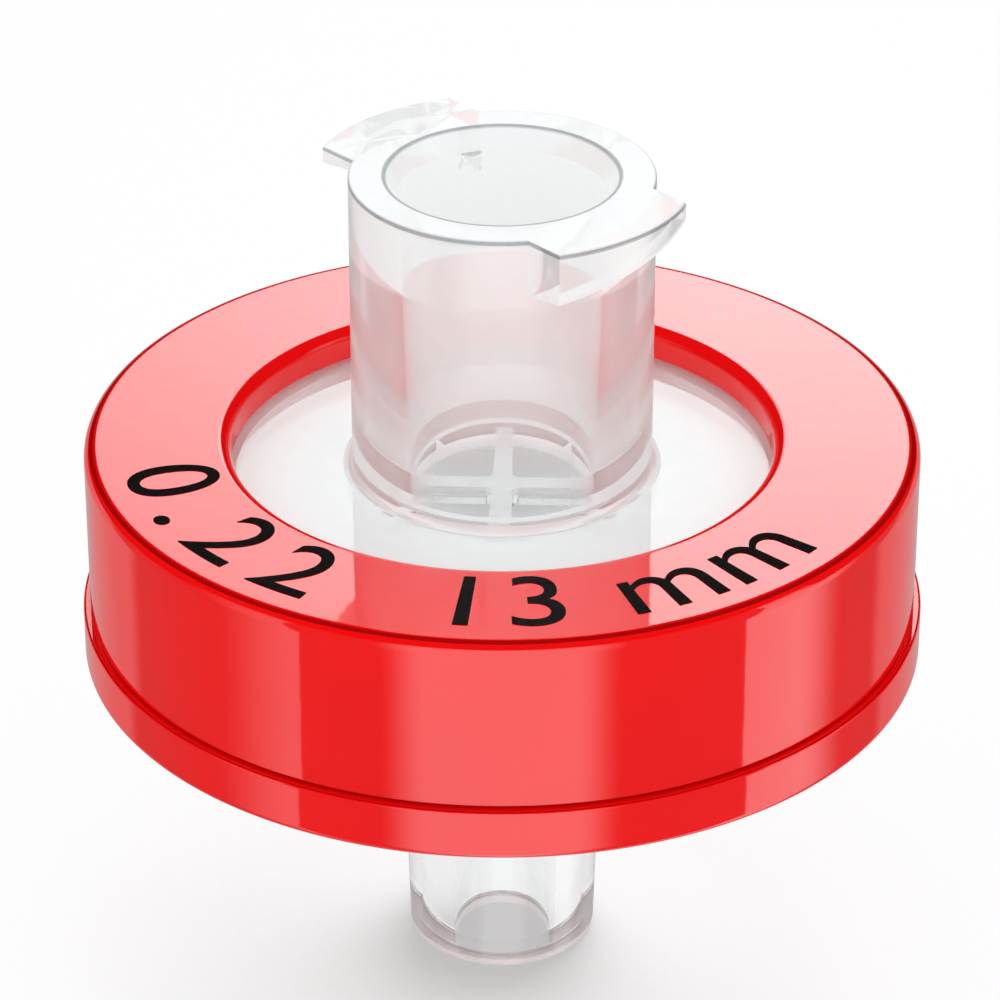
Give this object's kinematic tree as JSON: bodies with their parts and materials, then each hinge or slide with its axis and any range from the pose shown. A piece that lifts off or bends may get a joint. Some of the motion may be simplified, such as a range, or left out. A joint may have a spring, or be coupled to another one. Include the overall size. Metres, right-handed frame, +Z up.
{
  "type": "syringe filter",
  "caption": "Round disposable syringe filter: clear Luer-lock inlet tube and Luer-slip outlet tip on a membrane housing sealed by a glossy red overmoulded ring.",
  "frame": {"origin": "on the flow axis, in the plane of the outlet tip's end", "axes": "+Z up the flow axis from the outlet tip to the inlet rim; X and Y along the arms of the cross baffle, so the two Luer lugs lie at 135 and -45 degrees"},
  "size_m": [0.0176, 0.0176, 0.018],
  "materials": {
    "clear_plastic": "clear polished polypropylene",
    "red_plastic": "glossy moulded polypropylene",
    "membrane": "matt white microporous film",
    "print_ink": "black pad-printed ink"
  },
  "bodies": {
    "root": {"inlet_housing": "clear_plastic", "outlet_housing": "clear_plastic", "membrane": "membrane", "overmould_ring": "red_plastic"}
  },
  "joints": []
}
